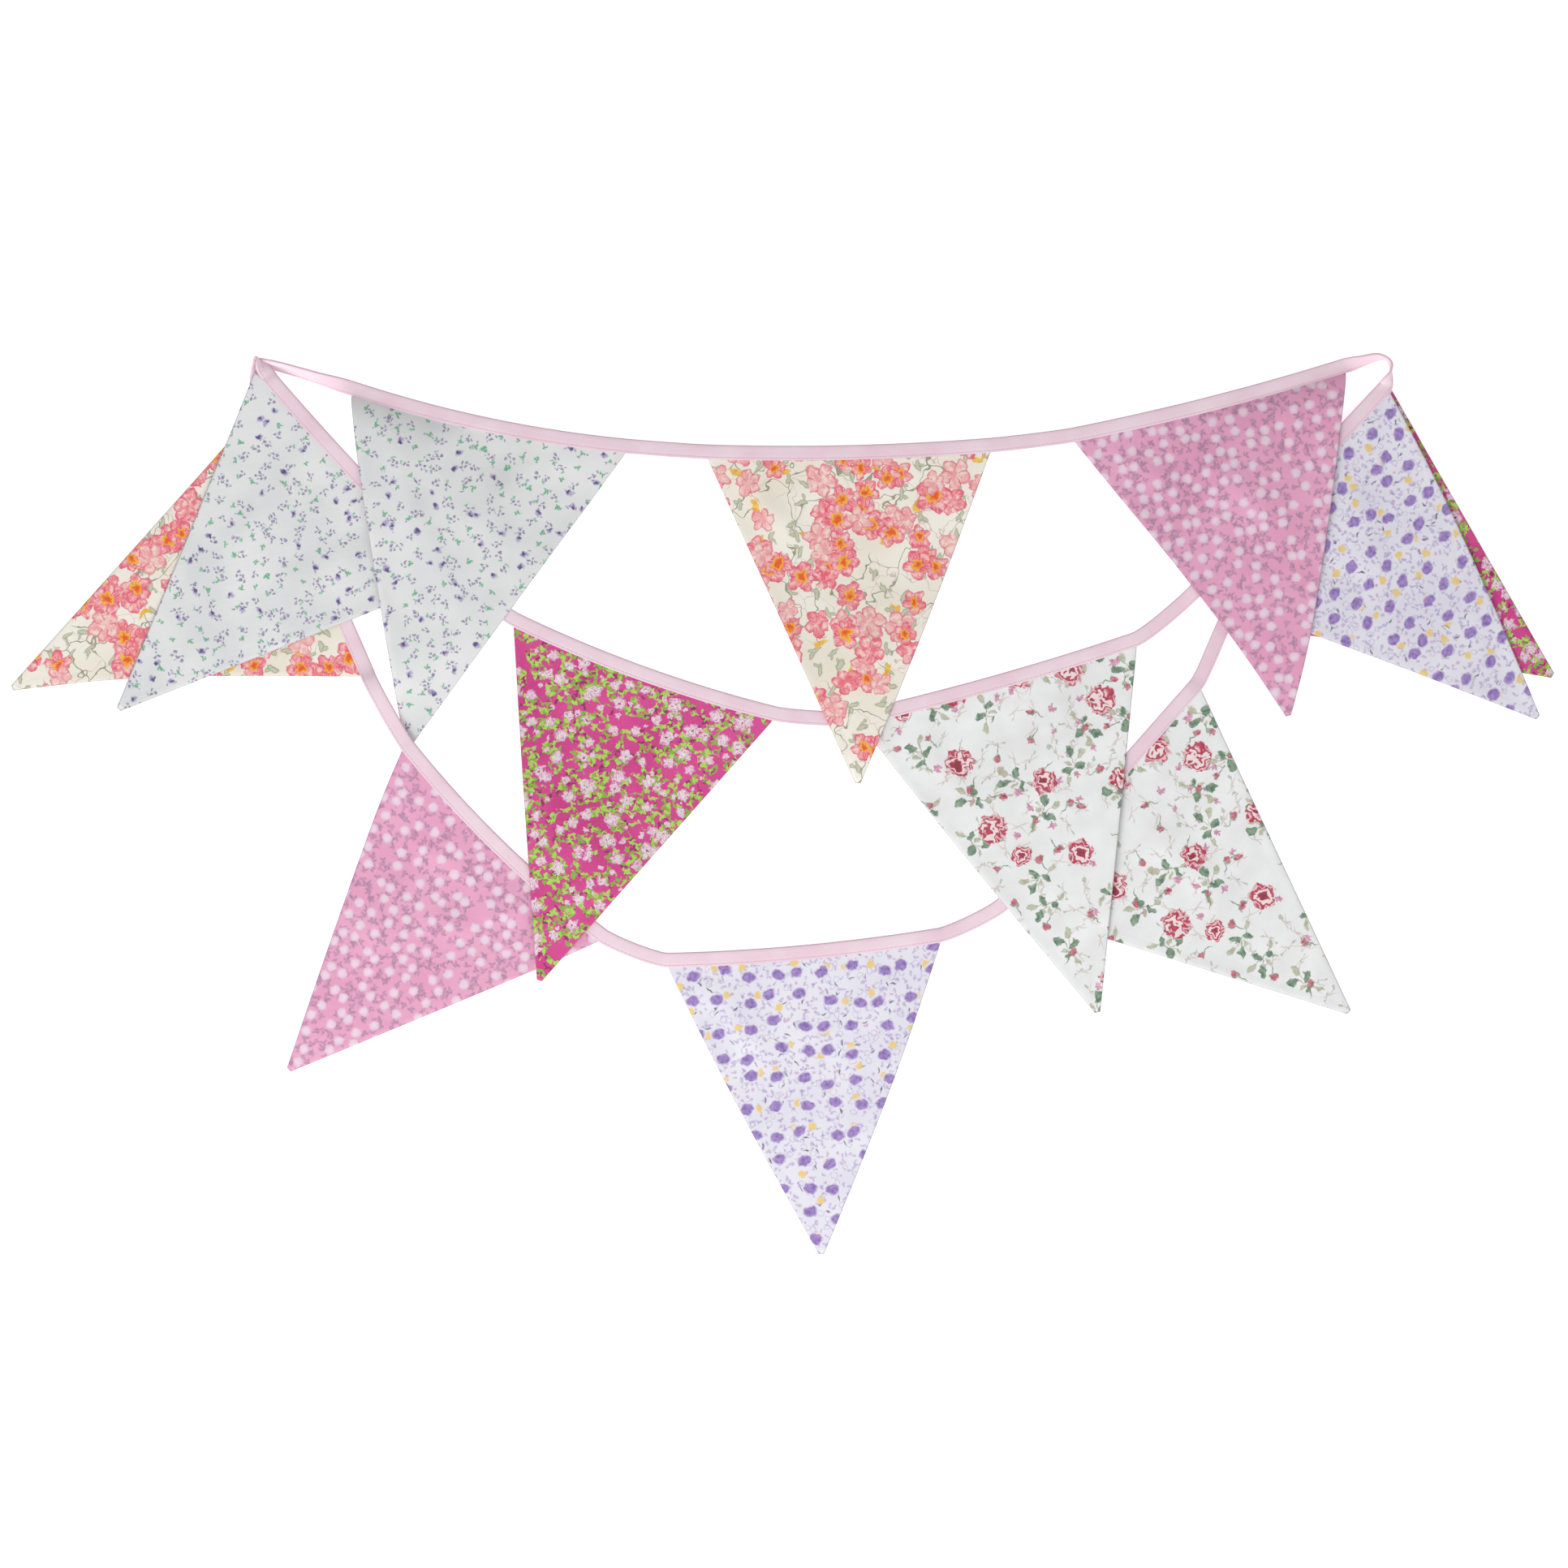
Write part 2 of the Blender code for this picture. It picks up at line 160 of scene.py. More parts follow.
class Scatter:
    # a motif in each cell of an uneven net, turned at random by up to `turning`: the place within the
    # motif, its cell's place, and two chances that differ from motif to motif
    def __init__(self, tree, place, spacing, jitter, seed, turning=math.tau):
        self.tree = tree
        cells = addNode(
            tree, "VectorMath", [place, (1 / spacing,) * 3, (seed * 7.3, seed * 3.1, 0)],
            operation="MULTIPLY_ADD",
        )
        self.home = addNode(
            tree, "TexVoronoi", {"Vector": cells, "Scale": 1, "Randomness": jitter},
            output="Position", voronoi_dimensions="2D",
        )
        offset = addNode(tree, "VectorMath", [cells, self.home], operation="SUBTRACT")
        away = addNode(tree, "VectorMath", {0: offset, "Scale": spacing}, operation="SCALE")
        chances = addNode(tree, "SeparateColor", [self.home.node.outputs["Color"]]).node.outputs
        turned = {"Vector": away, "Angle": addNode(tree, "MULTIPLY", [chances[0], turning])}
        self.local = addNode(tree, "VectorRotate", turned, rotation_type="Z_AXIS")
        self.pick = chances[1]
        self.size = chances[2]

    def spots(self, *rows, soft=0.3):
        # ellipses, each row being x, y, half length, half width and turn
        return either(self.tree, *(spot(self.tree, self.local, *row, soft=soft) for row in rows))

    def picked(self, low, high):
        # only the motifs whose chance lies between low and high
        return among(self.tree, self.pick, low, high)

    def resized(self, change, base):
        # the place with its millimetres stretched by the other chance, so that no two match
        grown = addNode(self.tree, "MULTIPLY_ADD", [self.size, change, base])
        return addNode(self.tree, "VectorMath", {0: self.local, "Scale": grown}, operation="SCALE")


def spot(tree, local, x, y, long, wide, turn=0, soft=0.3):
    # a filled ellipse, from its half length and half width, with its edge soft over `soft` mm
    inEllipse = addNode(
        tree, "Mapping", [local, (x, y, 0), (0, 0, math.radians(turn)), (long, wide, 1)],
        vector_type="TEXTURE",
    )
    reach = addNode(tree, "VectorMath", [inEllipse], output="Value", operation="LENGTH")
    return fade(tree, reach, 1 + soft / wide, 1 - soft / wide)


def fade(tree, value, low, high):
    # 0 at low and 1 at high
    return addNode(
        tree, "MapRange", {"Value": value, "From Min": low, "From Max": high},
        interpolation_type="SMOOTHSTEP",
    )


def flower(tree, local, radius, petals, notch):
    # share of the way from the centre to the petals' outline, over 1 outside, and 0 to 1 from the
    # parting between two petals to the middle of one
    axes = addNode(tree, "SeparateXYZ", [local]).node.outputs
    angle = addNode(tree, "ARCTAN2", [axes[1], axes[0]])
    halfTurns = addNode(tree, "MULTIPLY", [angle, petals / 2])
    lobes = addNode(tree, "ABSOLUTE", [addNode(tree, "COSINE", [halfTurns])])
    outline = addNode(tree, "MULTIPLY_ADD", [lobes, notch, 1 - notch])
    reach = addNode(tree, "VectorMath", [local], output="Value", operation="LENGTH")
    share = addNode(tree, "DIVIDE", [reach, addNode(tree, "MULTIPLY", [outline, radius])])
    return share, lobes


def unevenness(tree, place, size, detail=2, seed=0):
    # soft noise about 0.5, with lumps of about `size` mm
    return addNode(
        tree, "TexNoise", {"Vector": place, "W": seed, "Scale": 1 / size, "Detail": detail},
        noise_dimensions="4D",
    )


def among(tree, chance, low, high):
    # 1 where a motif's chance lies between low and high
    return addNode(tree, "COMPARE", [chance, (low + high) / 2, (high - low) / 2])


def near(tree, value, middle, outer, inner):
    # 1 where the value is within `inner` of the middle, and 0 beyond `outer`
    distance = addNode(tree, "ABSOLUTE", [addNode(tree, "SUBTRACT", [value, middle])])
    return fade(tree, distance, outer, inner)


def both(tree, *masks):
    result = masks[0]
    for mask in masks[1:]:
        result = addNode(tree, "MULTIPLY", [result, mask])
    return result


def either(tree, *masks):
    result = masks[0]
    for mask in masks[1:]:
        result = addNode(tree, "MAXIMUM", [result, mask])
    return result


class Paint:
    # a cloth's colour, as one ink after another is laid over it
    def __init__(self, tree, colour):
        self.tree = tree
        self.colour = colour

    def over(self, ink, strength, *masks):
        # where every mask is 1, as strongly as the ink covers
        mask = addNode(self.tree, "MULTIPLY", [both(self.tree, *masks), strength])
        inputs = {0: mask, 6: self.colour, 7: ink}
        self.colour = addNode(self.tree, "Mix", inputs, output=2, data_type="RGBA")


def blend(tree, value, *stops):
    # colour along a value, from (place, colour) stops
    ramp = addNode(tree, "ValToRGB", [value])
    elements = ramp.node.color_ramp.elements
    for index, (position, colour) in enumerate(stops):
        element = elements[index] if index < 2 else elements.new(position)
        element.position = position
        element.color = linearColour(colour)
    return ramp


def waver(tree, place, size, reach):
    # bends the drawing by about `reach` mm, as a hand-drawn design is
    bend = addNode(
        tree, "TexNoise", {"Vector": place, "Scale": 1 / size, "Detail": 2}, output="Color",
        noise_dimensions="2D",
    )
    swing = 5 * reach  # because the noise mostly swings by a fifth
    return addNode(tree, "VectorMath", [bend, (swing, swing, 0), place], operation="MULTIPLY_ADD")


def stalkNet(tree, place, spacing, width):
    # thin branching lines of one width, with soft edges
    cells = addNode(tree, "VectorMath", {0: place, "Scale": 1 / spacing}, operation="SCALE")
    distance = addNode(
        tree, "TexVoronoi", {"Vector": cells, "Scale": 1}, output="Distance",
        voronoi_dimensions="2D", feature="DISTANCE_TO_EDGE",
    )
    return fade(tree, distance, 0.5 * (width + 0.3) / spacing, 0.5 * (width - 0.15) / spacing)


def mottled(tree, place, size, dark, light):
    # two colours in soft patches of about `size` mm
    return blend(tree, unevenness(tree, place, size), (0.36, dark), (0.64, light))


# violet sprig: clusters of violet dots, lilac heads and sea-green leaves on a cool white
def sprigPrint(tree, place):
    cloth = Paint(tree, mottled(tree, place, 40, "#E0E1E2", "#ECECEC"))
    place = waver(tree, place, 3, 0.7)
    motif = Scatter(tree, place, 9, 0.92, 1)
    violet = mottled(tree, place, 2.2, "#43366C", "#8F7DB8")
    dots = motif.spots((1.5, 0, 1.2, 0.85), (-0.7, 1.5, 1, 0.75), (-1, -1.2, 0.9, 0.8))
    more = motif.spots((2.7, 2, 0.8, 0.65), (-3, 0.4, 0.8, 0.7))
    head = motif.spots((0, 0, 2.2, 1.7), soft=0.7)
    heart = motif.spots((-0.7, 0.3, 1.3, 1), soft=0.5)
    leaves = motif.spots(
        (0.8, 0.5, 1.4, 0.7, 30), (0.5, -0.8, 1.2, 0.6, -45), (-1, 0.3, 1, 0.6, 70),
    )
    sideLeaves = motif.spots((2.8, -1.9, 1.2, 0.6, 60), (3.4, -0.9, 0.9, 0.5, -20))
    cloth.over("#4FAF80", 0.85, leaves, motif.picked(0.54, 0.8))
    cloth.over("#66BB92", 0.8, sideLeaves, motif.picked(0.1, 0.5))
    cloth.over(violet, 0.72, dots, motif.picked(0, 0.54))
    cloth.over(violet, 0.6, more, among(tree, motif.size, 0, 0.4))
    lilac = motif.picked(0.8, 1)
    cloth.over("#A493C8", 0.8, head, lilac)
    cloth.over("#47396F", 0.85, heart, lilac)
    return cloth


# cream blossom: bunches of coral blossoms with orange hearts, drawn in line, on grey-green stems
def blossomPrint(tree, place):
    cloth = Paint(tree, mottled(tree, place, 50, "#F2EADA", "#FAF6EC"))
    drawn = waver(tree, place, 16, 4.5)
    clearing = fade(tree, unevenness(tree, place, 26, detail=0, seed=5), 0.4, 0.46)
    cloth.over("#989D83", 0.95, stalkNet(tree, drawn, 24, 0.7), clearing)
    cloth.over("#C08C86", 0.5, stalkNet(tree, drawn, 19, 0.4), clearing)
    place = waver(tree, place, 6, 0.9)
    leaf = Scatter(tree, place, 12, 0.9, 4)
    leafShape = leaf.spots((0, 0, 4.2, 1.5), (2.2, 2.6, 2.5, 1.1, 50))
    leafHeart = leaf.spots((0, 0, 3.4, 0.9), (2.2, 2.6, 1.8, 0.6, 50))
    leafKind = leaf.picked(0, 0.6)
    cloth.over("#8F967A", 0.8, leafShape, leafKind)
    cloth.over("#D5D6BC", 0.8, leafHeart, leafKind)
    bud = Scatter(tree, place, 22, 0.8, 9)
    budShape = bud.spots((0, 0, 4.6, 1.7), (3, 1.6, 2.8, 1.2, 35))
    budInk = mottled(tree, place, 3, "#F09A26", "#F6D23E")
    cloth.over(budInk, 0.9, budShape, bud.picked(0, 0.45))
    for spacing, seed, size in ((23, 12, 11), (19, 21, 9.5), (20, 34, 9.5)):
        bloom = Scatter(tree, place, spacing, 0.75, seed)
        home = addNode(tree, "VectorMath", {0: bloom.home, "Scale": spacing}, operation="SCALE")
        zone = fade(tree, unevenness(tree, home, 36, detail=0, seed=4), 0.525, 0.526)
        local = bloom.resized(-0.4, 1.25)
        share, lobes = flower(tree, local, size, 5, 0.34)
        rays = flower(tree, local, size, 27, 0.2)[1]
        inside = fade(tree, share, 1.02, 0.96)
        wash = unevenness(tree, place, 3.2, seed=seed)
        lightKind = bloom.picked(0, 0.3)
        stray = both(tree, lightKind, among(tree, bloom.size, 0, 0.2))
        shown = both(tree, inside, either(tree, zone, stray))
        petal = blend(tree, wash, (0.36, "#FCD3CD"), (0.47, "#F79AA1"), (0.6, "#EF5F77"))
        palePetal = blend(tree, wash, (0.36, "#F9E4D8"), (0.6, "#F5B2B2"))
        edge = both(tree, shown, fade(tree, share, 0.8, 0.9))
        parting = both(tree, shown, fade(tree, lobes, 0.3, 0.12), fade(tree, share, 0.3, 0.4))
        midPetal = both(tree, fade(tree, share, 0.9, 0.7), fade(tree, share, 0.45, 0.6))
        lines = both(tree, shown, fade(tree, rays, 0.5, 0.2), midPetal)
        cloth.over(petal, 0.9, shown)
        cloth.over(palePetal, 0.8, shown, lightKind)
        cloth.over("#FCE3DE", 0.55, lines)
        cloth.over("#DF5476", 0.6, parting)
        cloth.over("#E25A7A", 0.5, edge)
        reach = addNode(tree, "MULTIPLY_ADD", [wash, 0.5, share])
        sunny = blend(
            tree, reach, (0.38, "#EC5A26"), (0.5, "#F58A25"), (0.62, "#F9C63F"), (0.7, "#F6A54A")
        )
        middle = both(tree, shown, fade(tree, reach, 0.72, 0.64), bloom.picked(0.4, 1))
        cloth.over(sunny, 0.95, middle)
    return cloth


# pink dot: round pale blooms among short grey-mauve sprigs
def dotPrint(tree, place):
    cloth = Paint(tree, mottled(tree, place, 45, "#E8A2C4", "#F0AFCE"))
    place = waver(tree, place, 4, 0.4)
    for spacing, seed, ink in ((6.4, 2, "#8A7590"), (7.2, 19, "#A583A2")):
        sprig = Scatter(tree, place, spacing, 0.95, seed)
        strokes = sprig.spots(
            (1.1, 0.5, 1.7, 0.75, 25), (-0.9, 0.7, 1.3, 0.7, -50),
            (-0.3, -1.1, 1.3, 0.65, 10), soft=0.6,
        )
        cloth.over(ink, 0.6, strokes, sprig.picked(0, 0.8))
    bloom = Scatter(tree, place, 10.6, 0.6, 6)
    share = flower(tree, bloom.local, 3.4, 5, 0.06)[0]
    petal = blend(tree, share, (0, "#F3E2EC"), (0.55, "#F0D9E8"), (1, "#E9C1D8"))
    shown = both(tree, fade(tree, share, 1.2, 0.75), bloom.picked(0, 0.88))
    cloth.over(petal, 0.88, shown)
    return cloth


# purple berry: leaning berries, yellow dots, lilac specks, faint rings and dark dashes
def berryPrint(tree, place):
    cloth = Paint(tree, mottled(tree, place, 45, "#E4E2EE", "#EFEDF5"))
    place = waver(tree, place, 4, 0.6)
    for spacing, seed in ((4.8, 3), (6.2, 41)):
        speck = Scatter(tree, place, spacing, 0.95, seed)
        small = speck.spots((0, 0, 1.1, 0.85), soft=0.4)
        pair = either(tree, small, speck.spots((1.7, 0.5, 0.75, 0.6), soft=0.4))
        hollow = fade(tree, speck.spots((0, 0, 1.5, 1.3)), 1, 0)
        ring = both(tree, speck.spots((0, 0, 2.2, 1.9)), hollow)
        dash = speck.spots((0, 0, 1.8, 0.5))
        cloth.over("#B9AFD2", 0.5, ring, speck.picked(0.74, 0.88))
        cloth.over("#9C83C6", 0.5, pair, speck.picked(0, 0.5))
        cloth.over("#CDA4CC", 0.7, small, speck.picked(0.5, 0.62))
        cloth.over("#3E335E", 0.8, dash, speck.picked(0.93, 1))
    sun = Scatter(tree, place, 21, 0.8, 8)
    cloth.over("#F1D07A", 0.9, sun.spots((0, 0, 2.5, 2.3), soft=0.7))
    berry = Scatter(tree, place, 17.2, 0.5, 5, turning=0.9)
    halo = berry.spots((0, 0, 5.4, 4.6, 35), soft=0.8)
    cloth.over("#ECE9F4", 0.8, halo)
    fruit = berry.spots((0, 0, 4.3, 3.3, 35), soft=0.8)
    skin = mottled(tree, place, 2.6, "#6A40A0", "#A883CE")
    cloth.over(skin, 0.86, fruit)
    return cloth


# red rose spray: loose roses, leaf pairs, buds on stems, faint twigs and pink florets on white
def sprayPrint(tree, place):
    cloth = Paint(tree, mottled(tree, place, 22, "#ECEDEC", "#F6F7F7"))
    place = waver(tree, place, 5, 1)
    green = mottled(tree, place, 2.4, "#3F6A50", "#8DAA8C")
    sage = mottled(tree, place, 3, "#A4AA84", "#C9CBB2")
    twig = Scatter(tree, place, 14, 0.95, 14)
    stalks = twig.spots(
        (0, 0, 6, 0.4), (2.5, 1.6, 3.4, 0.35, 42), (-1.5, -1.5, 3, 0.35, 50), soft=0.15,
    )
    tips = twig.spots(
        (5.2, 3.7, 1.5, 0.8, 50), (-3.6, -3.2, 1.4, 0.8, 60), (0.6, 1.5, 1.2, 0.6, 70),
    )
    cloth.over("#C3A399", 0.5, stalks, twig.picked(0, 0.7))
    cloth.over("#9AAA90", 0.6, tips, twig.picked(0, 0.45))
    floret = Scatter(tree, place, 15, 0.95, 52)
    petals = fade(tree, flower(tree, floret.local, 2.6, 5, 0.45)[0], 1.1, 0.8)
    pink = mottled(tree, place, 2, "#B8487F", "#E3A3C4")
    cloth.over(pink, 0.8, petals, floret.picked(0, 0.4))
    leafy = Scatter(tree, place, 29, 0.85, 23)
    stem = leafy.spots((0, 0, 9, 0.4), (4.5, 3, 4.6, 0.35, 44), soft=0.18)
    darkLeaves = leafy.spots(
        (3.4, -3.4, 3.9, 2.2, -62), (8, 6.2, 4, 2.4, 50), (-3.4, 2.6, 3.2, 1.7, 118),
    )
    sageLeaves = leafy.spots(
        (11, -0.6, 3.6, 2, -12), (-8.4, -1.8, 3, 1.6, 24), (1, 4.2, 2.6, 1.3, 80),
    )
    leafKind = leafy.picked(0, 0.8)
    cloth.over("#8D8A70", 0.7, stem, leafKind)
    cloth.over(sage, 0.85, sageLeaves, leafKind)
    cloth.over(green, 0.92, darkLeaves, leafKind)
    bud = Scatter(tree, place, 23, 0.9, 37)
    budStem = bud.spots((-3.6, 0, 4.4, 0.4), soft=0.18)
    sepals = bud.spots((0.4, 1.5, 2, 0.6, 25), (0.4, -1.5, 2, 0.6, -25))
    budKind = bud.picked(0, 0.6)
    red = mottled(tree, place, 2.2, "#AE2447", "#E58A9C")
    cloth.over("#6E8A6A", 0.85, either(tree, budStem, sepals), budKind)
    budHead = bud.spots((1.6, 0, 2.3, 1.7))
    cloth.over(red, 0.92, budHead, budKind)
    rose = Scatter(tree, place, 41, 0.8, 11)
    share = flower(tree, rose.resized(0.6, 0.7), 8.2, 5, 0.15)[0]
    folds = unevenness(tree, place, 5.2, detail=1, seed=7)
    swirl = addNode(tree, "MULTIPLY_ADD", [folds, 1.7, addNode(tree, "SUBTRACT", [share, 0.85])])
    petals = blend(
        tree, swirl, (0, "#8F1D3B"), (0.16, "#BE2D4E"), (0.24, "#F7E1E2"), (0.42, "#F8E9E9"),
        (0.5, "#B72747"), (0.66, "#C4405B"), (0.76, "#F5D8DB"), (0.92, "#BE3352"),
    )
    roseKind = rose.picked(0, 0.9)
    frayed = addNode(tree, "MULTIPLY_ADD", [unevenness(tree, place, 3, seed=3), 0.7, share])
    cloth.over(petals, 0.95, fade(tree, frayed, 1.26, 1.14), roseKind)
    return cloth


# magenta rose: pale ragged roses among crowded lime leaves with maroon touches
def rosePrint(tree, place):
    cloth = Paint(tree, mottled(tree, place, 40, "#D0428A", "#DE539B"))
    vine = unevenness(tree, place, 13, detail=1, seed=2)
    nearVine = near(tree, vine, 0.5, 0.1, 0.08)
    place = waver(tree, place, 3, 0.8)
    dark = Scatter(tree, place, 5.2, 0.95, 18)
    darkMarks = dark.spots((0.6, 0.4, 2.4, 0.7, 30), (-0.9, -0.8, 1.7, 0.6, -60))
    cloth.over("#7C2C57", 0.8, darkMarks, nearVine, dark.picked(0, 0.7))
    for spacing, seed, ink in ((4.6, 16, "#86BE3C"), (5, 25, "#AEE25E")):
        leaf = Scatter(tree, place, spacing, 0.95, seed)
        leafShapes = leaf.spots(
            (0.9, 0.3, 1.8, 0.95, 20), (-1.1, 0.8, 1.3, 0.75, -60),
            (-0.4, -1.3, 1.2, 0.65, 80), soft=0.25,
        )
        cloth.over(ink, 0.95, leafShapes, nearVine, leaf.picked(0, 0.72))
    for spacing, seed, size, most in ((9.5, 31, 2.2, 0.46), (14, 28, 4.9, 0.78)):
        rose = Scatter(tree, place, spacing, 0.85, seed)
        share = flower(tree, rose.resized(0.6, 0.8), size, 5, 0.3)[0]
        ragged = unevenness(tree, place, 2.6, seed=seed)
        curls = addNode(tree, "MULTIPLY_ADD", [ragged, 1.5, addNode(tree, "SUBTRACT", [share, 0.7])])
        petal = blend(
            tree, curls, (0, "#A8407A"), (0.16, "#F4E3EC"), (0.36, "#F7EDF3"), (0.44, "#C0628F"),
            (0.52, "#F5E4EE"), (0.72, "#F2DDE9"), (0.8, "#C06A98"), (0.92, "#EFCBDE"),
        )
        frayed = addNode(tree, "MULTIPLY_ADD", [ragged, 0.8, share])
        shown = both(tree, fade(tree, frayed, 1.34, 1.2), rose.picked(0, most))
        cloth.over(petal, 0.88, shown)
    return cloth


prints = {
    "sprig": sprigPrint,
    "blossom": blossomPrint,
    "dot": dotPrint,
    "berry": berryPrint,
    "spray": sprayPrint,
    "rose": rosePrint,
}


# dry cotton: matt, with a faint bloom of fibre ends at grazing angles
dryCotton = {
    "Roughness": 0.88,
    "IOR": 1.46,
    "Specular IOR Level": 0.25,
    "Sheen Weight": 0.12,
    "Sheen Roughness": 0.6,
}


def startMaterial(name, look=dryCotton):
    material = bpy.data.materials.new(name)
    material.use_nodes = True
    tree = material.node_tree
    shader = tree.nodes["Principled BSDF"]
    for label, value in look.items():
        shader.inputs[label].default_value = value
    return material, tree, shader


# real threads lie about 0.25 mm apart, too fine to show, so the weave is drawn coarser than it is
weaveSettings = {
    "printedThread": 0.42,
    "tapeThread": 0.4,
    "strength": 0.35,
    "depth": 0.12,
    "slubSize": 1.6,
    "slubShare": 1.2,
}


def weaveBump(tree, place, thread):
    # plain weave: threads over and under each other both ways, uneven as spun cotton is
    s = weaveSettings
    axes = addNode(tree, "SeparateXYZ", [place]).node.outputs
    waves = []
    for axis in axes[:2]:
        phase = addNode(tree, "MULTIPLY", [axis, math.pi / thread])
        waves.append(addNode(tree, "SINE", [phase]))
    lift = addNode(tree, "MULTIPLY", waves)
    slubs = unevenness(tree, place, s["slubSize"], detail=3)
    slub = addNode(tree, "MULTIPLY_ADD", [slubs, s["slubShare"], lift])
    return addNode(
        tree, "Bump", {"Strength": s["strength"], "Distance": s["depth"] * mm, "Height": slub}
    )


def clothPlace(tree):
    # place on the flat cloth, in mm
    uv = addNode(tree, "UVMap", uv_map="cloth")
    return addNode(tree, "VectorMath", {0: uv, "Scale": 1 / mm}, operation="SCALE")


clothSettings = {
    "edgeShade": "#8B7F86",
    "edgeWidth": 0.9,
    "edgeShadeStrength": 0.5,
    "lintSize": 1.1,
    "lintInk": 0.12,
}


def printedCotton(number, row):
    # screen-printed plain-weave cotton: matt, with soft-edged inks sunk into the threads
    s = clothSettings
    material, tree, shader = startMaterial(f"printed cotton {row.cotton} {number}")
    flat = clothPlace(tree)
    place = addNode(tree, "Mapping", [flat, (*row.shift, 0), (0, 0, math.radians(row.turn))])
    cloth = prints[row.cotton](tree, place)
    lint = fade(tree, unevenness(tree, flat, s["lintSize"]), 0.5, 0.95)
    cloth.over("#FFFFFF", s["lintInk"], lint)
    # painted shade: a darker line along the sheet's edges, where its rounded rim turns away from the
    # light
    margin = addNode(tree, "Attribute", output="Fac", attribute_name="margin")
    edge = fade(tree, margin, s["edgeWidth"], 0.1)
    cloth.over(s["edgeShade"], s["edgeShadeStrength"], edge)
    tree.links.new(cloth.colour, shader.inputs["Base Color"])
    bump = weaveBump(tree, flat, weaveSettings["printedThread"])
    tree.links.new(bump, shader.inputs["Normal"])
    return material


def tapeCotton():
    # dyed plain-weave cotton, pressed: a matt pale pink, with painted shade along the rounded fold and
    # in the seam's dip
    material, tree, shader = startMaterial("pale pink cotton bias tape")
    flat = clothPlace(tree)
    cloth = Paint(tree, mottled(tree, flat, 30, "#F1D3E0", "#F6E0E9"))
    across = addNode(tree, "SeparateXYZ", [flat], output=1)
    # painted shade: darker along the rounded fold and in the dip under the stitches
    fold = fade(tree, across, 1.1, 0.3)
    seam = near(tree, across, 8.2, 0.5, 0.1)  # under the stitches, 1.3 mm from the open edge
    cloth.over("#CFA9B9", 0.6, fold)
    cloth.over("#DFBDCC", 0.3, seam)
    tree.links.new(cloth.colour, shader.inputs["Base Color"])
    bias = addNode(tree, "Mapping", [flat, None, (0, 0, math.radians(45))])
    bump = weaveBump(tree, bias, weaveSettings["tapeThread"])
    tree.links.new(bump, shader.inputs["Normal"])
    return material


def threadMaterial():
    # polyester sewing thread: pink, with the soft shine of twisted filament
    look = {**dryCotton, "Base Color": linearColour("#EFCBDA"), "Roughness": 0.5}
    return startMaterial("pink polyester sewing thread", look)[0]


pennantSettings = {
    "tipWidth": 3.5,
    "tapeRows": (-5.5, -2.5, 0),  # how far down the rows inside the tape lie
    "firstRow": 1.5,
    "rows": 62,
    "rowSpread": 1.04,  # over 1 sets the rows closer together near the head
    "margins": (0, 0.35, 0.9, 2.4, 4.6, 6.2),
    "narrowBelow": 34,  # where the sheet is narrower than this, its margins shrink with it
    "innerColumns": 30,
    "headShare": {7: 0.93},  # there the tape starts to turn before the pennant's corner
    "cornerInset": 0.025,
    "heldRows": 4,  # not smoothed, so that the head stays in the tape
    "levelColumns": 4,  # of those, the corners' columns that lie level inside the tape
    "readInset": 0.6,
    "smoothing": 14,
    "smoothShare": 0.6,
    "freeFrom": 2,  # ripples start here, and are whole this much further down
    "freeOver": 14,
    "ripple": 0.3,
    "rippleSize": 38,
    "fineShare": 0.5,
    "fineSize": 15,
    "wander": 4,
    "halfThickness": 0.3,
    "seamThickness": 0.14,
    "seamEnd": 6.4,
    "seamSlope": 1.6,
    "rimStart": 0.08,
    "lowest": 0.38,
    "clearance": 0.02,
    "areaShare": 0.53,  # of the box round it: a triangle with a narrow tip
}

# soft ridges and troughs (-) of each pennant: from and to along the head and down, half width, height
creases = {
    1: [
        (30, 18, 75, 100, 9, 1.7), (70, 8, 55, 62, 6, -1.1), (125, 12, 92, 66, 9, 1.5),
        (150, 14, 128, 40, 6, -0.9), (44, 110, 66, 175, 7, 1.3),
    ],
    2: [
        (18, 8, 62, 60, 8, 1.3), (95, 5, 104, 66, 9, -1), (158, 10, 120, 64, 8, 1.4),
        (70, 90, 110, 128, 8, 1),
    ],
    3: [(66, 16, 122, 96, 11, 1.5), (24, 10, 62, 54, 7, 1.1), (120, 10, 140, 60, 7, -0.9)],
    4: [(120, 20, 78, 84, 9, 1), (60, 16, 74, 70, 7, -0.8)],
    5: [(30, 18, 62, 84, 9, 1.1), (128, 20, 98, 92, 10, 1.2), (92, 10, 88, 50, 7, -0.8)],
    6: [(46, 16, 82, 80, 8, 1.1), (134, 14, 98, 72, 9, 1)],
    7: [(58, 26, 78, 118, 10, 1.1), (120, 16, 96, 76, 8, -0.9)],
    9: [(36, 48, 116, 42, 7, -1.2), (128, 12, 92, 70, 9, 1), (56, 66, 82, 120, 9, 0.9)],
    10: [(26, 10, 62, 76, 9, 1.2), (146, 12, 108, 66, 8, 1), (88, 60, 84, 120, 9, -0.8)],
    11: [(104, 26, 88, 116, 10, 1.1), (60, 14, 74, 60, 8, -0.8)],
}


